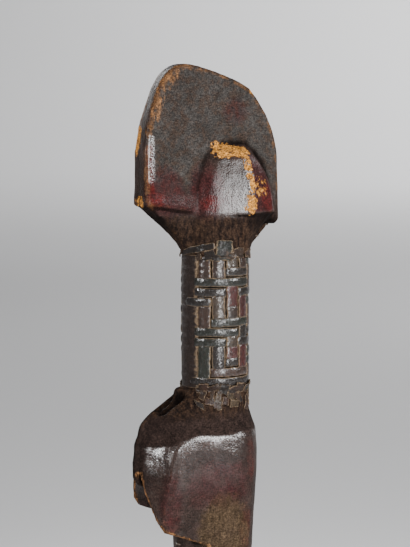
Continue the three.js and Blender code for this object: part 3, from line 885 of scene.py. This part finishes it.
class DOLL_OT_stitches(bpy.types.Operator):
    """Sews the closing seam down the nape, the back and the front"""

    bl_idname = "doll.stitches"
    bl_label = "Stitches"

    def execute(self, context):
        chance = random.Random(studio().seed + 4)
        cover = bpy.data.objects["Leather_Cover"]
        tree = BVHTree.FromObject(cover, context.evaluated_depsgraph_get())
        spacing = sizes().stitch_spacing / MM
        model = added(bpy.ops.mesh.primitive_torus_add, major_segments=10, minor_segments=6,
                      major_radius=STITCH_RADIUS * MM, minor_radius=THREAD_RADIUS * MM)
        stitches = []
        for outward, low, high in SEAMS:
            height = low
            while height < high:
                place = surface_at(tree, height, outward)
                stitch = model.copy()
                stitch.data = model.data.copy()
                context.scene.collection.objects.link(stitch)
                stitch.location = place - Vector((0, outward * STITCH_SUNK * MM, 0))
                stitch.rotation_euler = (chance.uniform(-0.35, 0.35), chance.uniform(-0.3, 0.3), 0)
                stitch.scale = (1, 0.75, 1)
                stitches.append(stitch)
                height += spacing * chance.uniform(0.85, 1.2)
        bpy.data.objects.remove(model)
        thread = joined("Seam_Stitches", stitches)
        bpy.ops.object.transform_apply(location=True, rotation=True, scale=True)
        write_points(thread.data, within_cad_box(read_points(thread.data)))
        finish_piece(thread, None, "strip_leather", sinew())
        return {"FINISHED"}


# Materials

class Shader:
    """A material's or a group's node tree, with short calls to add and link nodes."""

    def __init__(self, tree):
        self.tree = tree

    def add(self, kind, settings=None, **inputs):
        node = self.tree.nodes.new(kind)
        for key, value in (settings or {}).items():
            setattr(node, key, value)
        for key, value in inputs.items():
            self.put(node.inputs[key.replace("_", " ")], value)
        return node

    def put(self, socket, value):
        if isinstance(value, bpy.types.NodeSocket):
            self.tree.links.new(value, socket)
        else:
            socket.default_value = value

    def math(self, operation, a, b=0.0, clamp=False):
        node = self.add("ShaderNodeMath", {"operation": operation, "use_clamp": clamp})
        self.put(node.inputs[0], a)
        self.put(node.inputs[1], b)
        return node.outputs[0]

    def times(self, a, b):
        return self.math("MULTIPLY", a, b)

    def plus(self, a, b):
        return self.math("ADD", a, b)

    def minus(self, a, b):
        return self.math("SUBTRACT", a, b)

    def higher(self, a, b):
        return self.math("MAXIMUM", a, b)

    def between(self, low, high, value, start=0.0, end=1.0):
        """A smooth rise from start to end while value goes from low to high."""
        node = self.add("ShaderNodeMapRange", {"interpolation_type": "SMOOTHSTEP"}, Value=value, From_Min=low,
                        From_Max=high, To_Min=start, To_Max=end)
        return node.outputs["Result"]

    def mix(self, factor, a, b):
        return self.add("ShaderNodeMix", {"data_type": "RGBA"}, Factor=factor, A=a, B=b).outputs["Result"]

    def shaded(self, tint, factor):
        """A colour made darker or lighter by a factor."""
        node = self.add("ShaderNodeVectorMath", {"operation": "SCALE"}, Vector=tint, Scale=factor)
        return node.outputs["Vector"]

    def tones(self, low, high, pattern, tint, dark, light):
        """A tint that a pattern makes darker and lighter."""
        return self.mix(self.between(low, high, pattern), rgba(tint, dark), rgba(tint, light))

    def over(self, below, above, mask, strength):
        """One colour laid over another where a mask shows it."""
        return self.mix(self.times(mask, strength), below, above)

    def bump(self, height):
        """The normal of a height in millimetres."""
        return self.add("ShaderNodeBump", Height=height, Distance=MM, Strength=1.0).outputs["Normal"]

    def mask(self, name):
        return self.add("ShaderNodeAttribute", {"attribute_name": name}).outputs["Fac"]

    def place(self):
        """The point on the object, in millimetres."""
        where = self.add("ShaderNodeTexCoord").outputs["Object"]
        scaled = self.add("ShaderNodeVectorMath", {"operation": "SCALE"}, Vector=where, Scale=1 / MM)
        return scaled.outputs["Vector"]

    def noise(self, vector, size, detail=3.0, roughness=0.55):
        node = self.add("ShaderNodeTexNoise", Vector=vector, Scale=1 / size, Detail=detail, Roughness=roughness)
        return node.outputs["Fac"]

    def stretched(self, vector, scale):
        return self.add("ShaderNodeMapping", Vector=vector, Scale=scale).outputs["Vector"]


def new_group(name, inputs, outputs):
    """An empty node group with float or vector inputs and float outputs, and its Shader."""
    tree = bpy.data.node_groups.new(name, "ShaderNodeTree")
    for label, kind, default in inputs:
        socket = tree.interface.new_socket(label, in_out="INPUT", socket_type=kind)
        if default is not None:
            socket.default_value = default
    for label, kind in outputs:
        tree.interface.new_socket(label, in_out="OUTPUT", socket_type=kind)
    source = tree.nodes.new("NodeGroupInput")
    sink = tree.nodes.new("NodeGroupOutput")
    return Shader(tree), source.outputs, sink.inputs


def group_node(shader, tree, **inputs):
    node = shader.tree.nodes.new("ShaderNodeGroup")
    node.node_tree = tree
    for key, value in inputs.items():
        shader.put(node.inputs[key.replace("_", " ")], value)
    return node.outputs


def leather_grain():
    """Pebbled leather grain as a height: cells with creases between them, over finer pores."""
    if "Leather Grain" in bpy.data.node_groups:
        return bpy.data.node_groups["Leather Grain"]
    s, source, sink = new_group(
        "Leather Grain",
        [("Place", "NodeSocketVector", None), ("Pebble Size", "NodeSocketFloat", 0.8)],
        [("Height", "NodeSocketFloat")],
    )
    warp = s.add("ShaderNodeTexNoise", Vector=source["Place"], Scale=0.5, Detail=2.0).outputs["Color"]
    pushed = s.add("ShaderNodeVectorMath", {"operation": "SCALE"}, Vector=warp, Scale=1.4).outputs["Vector"]
    place = s.add("ShaderNodeVectorMath", {"operation": "ADD"}).inputs
    s.put(place[0], source["Place"])
    s.put(place[1], pushed)
    moved = place[0].node.outputs["Vector"]
    pebble = s.add("ShaderNodeTexVoronoi", {"feature": "DISTANCE_TO_EDGE"}, Vector=moved,
                   Scale=s.math("DIVIDE", 1.0, source["Pebble Size"])).outputs["Distance"]
    rounded = s.between(0.0, 0.32, pebble)
    pores = s.noise(moved, 0.35, 2.0, 0.6)
    s.put(sink["Height"], s.plus(s.times(rounded, 0.6), s.times(pores, 0.6)))
    return s.tree


def ragged_edge():
    """Turns a soft mask into one with a torn, flaky border."""
    if "Ragged Edge" in bpy.data.node_groups:
        return bpy.data.node_groups["Ragged Edge"]
    s, source, sink = new_group(
        "Ragged Edge",
        [("Place", "NodeSocketVector", None), ("Mask", "NodeSocketFloat", 0.0),
         ("Flake Size", "NodeSocketFloat", 1.5), ("Raggedness", "NodeSocketFloat", 0.8),
         ("Sharpness", "NodeSocketFloat", 0.08)],
        [("Mask", "NodeSocketFloat")],
    )
    scale = s.math("DIVIDE", 1.0, source["Flake Size"])
    flakes = s.add("ShaderNodeTexNoise", Vector=source["Place"], Scale=scale, Detail=5.0, Roughness=0.65)
    shift = s.times(s.minus(flakes.outputs["Fac"], 0.5), source["Raggedness"])
    shift = s.times(shift, s.between(0.0, 0.35, source["Mask"]))
    low, high = s.minus(0.5, source["Sharpness"]), s.plus(0.5, source["Sharpness"])
    s.put(sink["Mask"], s.between(low, high, s.plus(source["Mask"], shift)))
    return s.tree


def new_material(name):
    """An empty material with a Principled shader, and its Shader."""
    material = bpy.data.materials.new(name)
    material.use_nodes = True
    s = Shader(material.node_tree)
    shader = next(node for node in material.node_tree.nodes if node.type == "BSDF_PRINCIPLED")
    return material, s, shader


def rgba(value, strength=1.0):
    return (value[0] * strength, value[1] * strength, value[2] * strength, 1)


def torn(s, place, name, flake, raggedness, sharpness):
    return group_node(s, ragged_edge(), Place=place, Mask=s.mask(name), Flake_Size=flake, Raggedness=raggedness,
                      Sharpness=sharpness)["Mask"]


def doll_leather():
    """Old glued leather: dark ground, dusty faces, red and maroon patches, ochre where it is worn through."""
    if "Doll Leather" in bpy.data.materials:
        return bpy.data.materials["Doll Leather"]
    c = colours()
    material, s, shader = new_material("Doll Leather")
    place = s.place()
    grain = group_node(s, leather_grain(), Place=place, Pebble_Size=0.75)
    broad = s.noise(place, 6.5, 7.0, 0.72)
    mottle = s.noise(place, 2.2, 5.0, 0.65)
    streaks = s.noise(s.stretched(place, (1.0, 1.0, 0.35)), 1.1, 4.0, 0.6)
    speckle = s.noise(place, 0.55, 3.0, 0.7)
    threads = s.plus(s.noise(s.stretched(place, (1.0, 0.3, 1.6)), 0.42, 2.0),
                     s.noise(s.stretched(place, (1.0, 1.5, 0.7)), 0.42, 2.0))

    # Dark ground, dust and reds.
    colour_now = s.tones(0.35, 0.68, broad, c.ground, 0.6, 1.25)
    colour_now = s.mix(s.between(0.5, 0.75, mottle, 0.0, 0.3), colour_now, rgba(c.dusty, 0.9))
    dust = torn(s, place, "dust", 5.0, 0.7, 0.4)
    dusty = s.tones(0.35, 0.65, broad, c.dusty, 0.55, 0.9)
    dusty = s.mix(s.between(0.4, 0.65, mottle, 0.0, 0.6), dusty, rgba(c.earth, 0.9))
    colour_now = s.over(colour_now, dusty, dust, 0.9)
    maroon = torn(s, place, "maroon", 4.0, 1.0, 0.42)
    colour_now = s.over(colour_now, s.tones(0.3, 0.7, mottle, c.maroon, 0.42, 0.95), maroon, 0.65)
    blood = torn(s, place, "blood", 2.5, 1.0, 0.34)
    colour_now = s.over(colour_now, s.tones(0.3, 0.7, mottle, c.blood, 0.45, 1.0), blood, 0.5)

    # Painted shade on the shoulders' slope, dirt, and painted shade in hollows and under the head.
    soot = s.mask("soot")
    shoulder_shaded = s.mix(s.between(0.3, 0.7, mottle), rgba(c.hollow, 2.0), rgba(c.ground, 0.8))
    colour_now = s.over(colour_now, shoulder_shaded, soot, 0.9)
    grime = torn(s, place, "grime", 2.6, 1.2, 0.36)
    colour_now = s.over(colour_now, s.tones(0.3, 0.7, streaks, c.grime, 0.45, 1.15), grime, 0.6)
    earth = torn(s, place, "earth", 1.6, 1.1, 0.4)
    earthy = s.mix(s.between(0.35, 0.65, streaks), rgba(c.hollow, 1.2), rgba(c.earth, 0.9))
    colour_now = s.over(colour_now, earthy, earth, 0.85)
    # Painted shade: hollows, the pocket, between the breasts and under the head go near-black.
    hollow = s.times(s.mask("hollow"), s.between(0.3, 0.6, mottle, 0.8, 1.0))
    colour_now = s.mix(hollow, colour_now, rgba(c.hollow))

    # Rubbed ridges, raw edges and worn-through spots.
    rubbed = s.times(s.mask("ridge"), s.between(0.5, 0.6, s.noise(place, 4.0, 5.0, 0.65), 0.0, 0.5))
    colour_now = s.mix(rubbed, colour_now, rgba(c.tan, 0.6))
    frayed = torn(s, place, "edge", 2.4, 2.4, 0.2)
    colour_now = s.over(colour_now, rgba(c.tan, 0.8), frayed, 0.5)
    tan = torn(s, s.stretched(place, (1.0, 1.0, 0.4)), "tan", 1.5, 2.6, 0.3)
    colour_now = s.over(colour_now, s.tones(0.35, 0.65, mottle, c.tan, 0.3, 1.1), tan, 0.7)
    ochre = torn(s, place, "ochre", 1.5, 3.2, 0.16)
    flesh_side = s.tones(0.38, 0.6, s.noise(place, 0.7, 5.0, 0.75), c.ochre, 0.25, 1.25)
    colour_now = s.mix(ochre, colour_now, flesh_side)

    # The grain makes all of it uneven.
    grainy = s.between(0.3, 0.72, speckle, 0.17, 0.38)
    brighter = s.times(s.higher(ochre, s.times(tan, 0.5)), 0.55)
    grainy = s.times(grainy, s.plus(brighter, 1.0))
    colour_now = s.shaded(colour_now, s.times(grainy, s.between(0.7, 1.3, threads, 0.55, 1.45)))

    # The dark line where the two halves of the cover meet on the rim, the back and the front.
    sideways = s.add("ShaderNodeSeparateXYZ", Vector=place).outputs["X"]
    wander = s.times(s.minus(s.noise(place, 6.0, 2.0), 0.5), 0.5)
    off_line = s.math("ABSOLUTE", s.plus(sideways, wander))
    line = s.times(s.between(0.12, 0.3, off_line, 1.0, 0.0), s.mask("rim"))
    s.put(shader.inputs["Base Color"], s.over(colour_now, rgba(c.hollow, 0.6), line, 0.8))

    rough = s.plus(s.between(0.3, 0.7, mottle, 0.45, 0.62), s.times(dust, 0.2))
    worn_off = s.higher(s.higher(ochre, tan), s.higher(grime, earth))
    dull = s.higher(s.higher(soot, s.mask("hollow")), worn_off)
    s.put(shader.inputs["Roughness"], s.plus(rough, s.times(dull, 0.25)))

    # Hands have polished the facets of the hair and of the breasts.
    rubbing = s.noise(s.stretched(place, (1.0, 1.0, 0.5)), 1.0, 5.0, 0.7)
    rubbing = s.times(s.between(0.25, 0.7, rubbing, 0.6, 0.95), s.between(0.0, 0.8, dull, 1.0, 0.0))
    polish = s.higher(s.mask("polish"), s.between(0.0, 0.5, dust, 0.07, 0.0))
    s.put(shader.inputs["Coat Weight"], s.times(polish, rubbing))
    shader.inputs["Coat Roughness"].default_value = 0.18
    pebbles = s.noise(place, 0.5, 1.5, 0.5)
    s.put(shader.inputs["Coat Normal"], s.bump(s.plus(s.times(pebbles, 0.1), s.times(threads, 0.02))))

    height = s.plus(s.times(grain["Height"], 0.08), s.times(mottle, 0.05))
    height = s.plus(height, s.times(threads, 0.09))
    height = s.minus(height, s.times(ochre, s.between(0.3, 0.7, mottle, 0.02, 0.1)))
    s.put(shader.inputs["Normal"], s.bump(s.minus(height, s.times(line, 0.3))))
    shader.inputs["Specular IOR Level"].default_value = 0.02
    return material


def strip_leather():
    """Narrow strips with their own tint, raw pale edges and rubbed, shiny crowns."""
    if "Strip Leather" in bpy.data.materials:
        return bpy.data.materials["Strip Leather"]
    c = colours()
    material, s, shader = new_material("Strip Leather")
    place = s.place()
    tint = s.add("ShaderNodeAttribute", {"attribute_name": "strip_tint"}).outputs["Color"]
    grain = group_node(s, leather_grain(), Place=place, Pebble_Size=0.5)
    mottle = s.noise(place, 1.4, 5.0, 0.65)
    specks = s.noise(place, 0.4, 3.0, 0.7)
    colour_now = s.mix(s.between(0.35, 0.7, mottle, 0.0, 0.6), tint, rgba(c.strip_dark, 0.7))
    rubbed = s.between(0.5, 0.75, s.noise(place, 0.7, 4.0, 0.7), 0.0, 0.8)
    colour_now = s.mix(rubbed, colour_now, rgba(c.earth))
    edge = torn(s, place, "raw_edge", 0.9, 1.9, 0.25)
    raw = s.mix(mottle, rgba(c.strip_edge, 0.25), rgba(c.strip_edge))
    colour_now = s.over(colour_now, raw, edge, 0.7)
    grainy = s.times(s.between(0.3, 0.7, specks, 0.08, 0.26), s.plus(s.times(edge, 1.2), 1.0))
    s.put(shader.inputs["Base Color"], s.shaded(colour_now, grainy))
    worn = s.higher(s.mask("rough"), s.times(edge, 0.8))
    s.put(shader.inputs["Roughness"], s.plus(s.between(0.3, 0.7, mottle, 0.4, 0.6), s.times(worn, 0.3)))
    shine = s.between(0.4, 0.62, s.noise(place, 0.6, 4.0, 0.7), 0.08, 0.75)
    s.put(shader.inputs["Coat Weight"], s.times(shine, s.math("SUBTRACT", 1.0, worn, clamp=True)))
    shader.inputs["Coat Roughness"].default_value = 0.16
    ripples = s.plus(s.times(s.noise(place, 1.1, 3.0, 0.55), 0.2), s.times(specks, 0.02))
    s.put(shader.inputs["Coat Normal"], s.bump(ripples))
    s.put(shader.inputs["Normal"], s.bump(s.plus(s.times(grain["Height"], 0.06), s.times(mottle, 0.16))))
    shader.inputs["Specular IOR Level"].default_value = 0.08
    return material


def sinew():
    """Dark twisted sewing thread."""
    if "Sinew" in bpy.data.materials:
        return bpy.data.materials["Sinew"]
    c = colours()
    material, s, shader = new_material("Sinew")
    place = s.place()
    twist = s.noise(s.stretched(place, (3.0, 3.0, 0.8)), 0.5, 3.0)
    s.put(shader.inputs["Base Color"], s.mix(twist, rgba(c.hollow, 0.7), rgba(c.grime, 0.5)))
    s.put(shader.inputs["Roughness"], s.between(0.3, 0.7, twist, 0.5, 0.75))
    s.put(shader.inputs["Normal"], s.bump(s.times(twist, 0.1)))
    return material


def floor_paper():
    """Pale, smooth studio paper."""
    material, s, shader = new_material("Floor Paper")
    place = s.add("ShaderNodeTexCoord").outputs["Object"]
    cloud = s.add("ShaderNodeTexNoise", Vector=place, Scale=0.8, Detail=1.0).outputs["Fac"]
    tint = colours().floor
    s.put(shader.inputs["Base Color"], s.mix(cloud, rgba(tint, 0.96), rgba(tint, 1.04)))
    shader.inputs["Roughness"].default_value = 0.8
    shader.inputs["Specular IOR Level"].default_value = 0.1
    return material


# The studio

def round_the_doll(azimuth, elevation, distance, height):
    """A place round the doll; azimuth 0 is in front of it and a quarter turn is on its left."""
    flat = distance * math.cos(elevation)
    return Vector((flat * math.sin(azimuth), -flat * math.cos(azimuth), height + distance * math.sin(elevation)))


def aim(obj, target):
    obj.rotation_euler = (target - obj.location).to_track_quat("-Z", "Y").to_euler()


def light_up(name, place, target, width, height, spread, power):
    """An area light that no camera sees, with its spread in degrees."""
    light = bpy.data.lights.new(name, "AREA")
    light.shape = "RECTANGLE"
    light.size = width
    light.size_y = height
    light.energy = power
    light.spread = math.radians(spread)
    obj = bpy.data.objects.new(name, light)
    bpy.context.scene.collection.objects.link(obj)
    obj.visible_camera = False
    obj.location = place
    aim(obj, target)


class DOLL_OT_stage(bpy.types.Operator):
    """Sets the pale floor, the soft boxes and the camera"""

    bl_idname = "doll.stage"
    bl_label = "Studio"

    def execute(self, context):
        st = studio()
        self.floor(context, st)
        self.lights(st)
        self.sky(context)
        self.camera(context, st)
        return {"FINISHED"}

    def lights(self, st):
        """Soft boxes round the doll, and lights that reach only the floor and the wall behind it."""
        middle = Vector((0, 0, st.view_height))
        for name, turn, elevation, distance, width, height, spread, power in SOFT_BOXES:
            place = round_the_doll(st.camera_azimuth + math.radians(turn), math.radians(elevation), distance,
                                   st.view_height)
            light_up(name, place, middle, width, height, spread, getattr(st, power))
        away = Vector((-math.sin(st.camera_azimuth), math.cos(st.camera_azimuth), 0))
        right = Vector((math.cos(st.camera_azimuth), math.sin(st.camera_azimuth), 0))
        for name, place, target, width, height, spread, power in BACKDROP_LIGHTS:
            place, target = (away * p[0] + right * p[1] + Vector((0, 0, p[2])) for p in (place, target))
            light_up(name, place, target, width, height, spread, getattr(st, power))

    def floor(self, context, st):
        """A floor that runs far back and curves up into a wall."""
        cove = added(bpy.ops.mesh.primitive_plane_add, size=COVE_FLOOR)
        cove.name = "Studio_Cove"
        bpy.ops.object.mode_set(mode="EDIT")
        bpy.ops.mesh.select_all(action="DESELECT")
        bpy.ops.object.mode_set(mode="OBJECT")
        for edge in cove.data.edges:
            edge.select = all(cove.data.vertices[i].co.y > 1 for i in edge.vertices)
        bpy.ops.object.mode_set(mode="EDIT")
        bpy.ops.mesh.select_mode(type="EDGE")
        arc = math.pi / 2 / COVE_STEPS
        reach = 2 * COVE_RADIUS * math.sin(arc / 2)
        for step in range(COVE_STEPS):
            lean = (step + 0.5) * arc
            move = (0, reach * math.cos(lean), reach * math.sin(lean))
            bpy.ops.mesh.extrude_region_move(TRANSFORM_OT_translate={"value": move})
        bpy.ops.mesh.extrude_region_move(TRANSFORM_OT_translate={"value": (0, 0, COVE_WALL)})
        bpy.ops.object.mode_set(mode="OBJECT")
        cove.rotation_euler = (0, 0, st.camera_azimuth)
        bpy.ops.object.transform_apply(location=True, rotation=True, scale=True)
        select_only(cove)
        bpy.ops.object.shade_smooth()
        cove.data.materials.append(floor_paper())

    def sky(self, context):
        world = bpy.data.worlds.new("Studio Air")
        world.use_nodes = True
        background = world.node_tree.nodes["Background"]
        background.inputs["Color"].default_value = SKY_COLOUR
        background.inputs["Strength"].default_value = SKY_STRENGTH
        context.scene.world = world

    def camera(self, context, st):
        data = bpy.data.cameras.new("Camera")
        data.sensor_fit = "HORIZONTAL"
        data.sensor_width = SENSOR_WIDTH
        data.lens = SENSOR_WIDTH * st.camera_distance / st.view_width
        data.clip_start = 0.01
        camera = bpy.data.objects.new("Camera", data)
        context.scene.collection.objects.link(camera)
        right = Vector((math.cos(st.camera_azimuth), math.sin(st.camera_azimuth), 0))
        target = Vector((0, 0, st.view_height)) - right * st.view_side
        offset = round_the_doll(st.camera_azimuth, st.camera_elevation, st.camera_distance, 0)
        camera.location = target + offset
        aim(camera, target)
        context.scene.camera = camera


class DOLL_PT_panel(bpy.types.Panel):
    """Lists the steps that build the doll's looks"""

    bl_label = "Leather-covered Doll"
    bl_idname = "DOLL_PT_panel"
    bl_space_type = "VIEW_3D"
    bl_region_type = "UI"
    bl_category = "Doll"

    def draw(self, context):
        for group in (context.scene.doll_sizes, context.scene.doll_colours, context.scene.doll_studio):
            box = self.layout.box()
            for key in group.__annotations__:
                box.prop(group, key)
        for step in STEPS:
            self.layout.operator(step.bl_idname)


GROUPS = (DollSizes, DollColours, DollStudio)
STEPS = (DOLL_OT_cover, DOLL_OT_plait, DOLL_OT_lining, DOLL_OT_tongues, DOLL_OT_stitches, DOLL_OT_stage)


def register():
    for item in GROUPS + STEPS + (DOLL_PT_panel,):
        bpy.utils.register_class(item)
    bpy.types.Scene.doll_sizes = PointerProperty(type=DollSizes)
    bpy.types.Scene.doll_colours = PointerProperty(type=DollColours)
    bpy.types.Scene.doll_studio = PointerProperty(type=DollStudio)


def unregister():
    del bpy.types.Scene.doll_studio
    del bpy.types.Scene.doll_colours
    del bpy.types.Scene.doll_sizes
    for item in reversed(GROUPS + STEPS + (DOLL_PT_panel,)):
        bpy.utils.unregister_class(item)


def main():
    """Runs every step in order."""
    register()
    for step in STEPS:
        group, name = step.bl_idname.split(".")
        getattr(getattr(bpy.ops, group), name)()


if __name__ == "__main__":
    main()
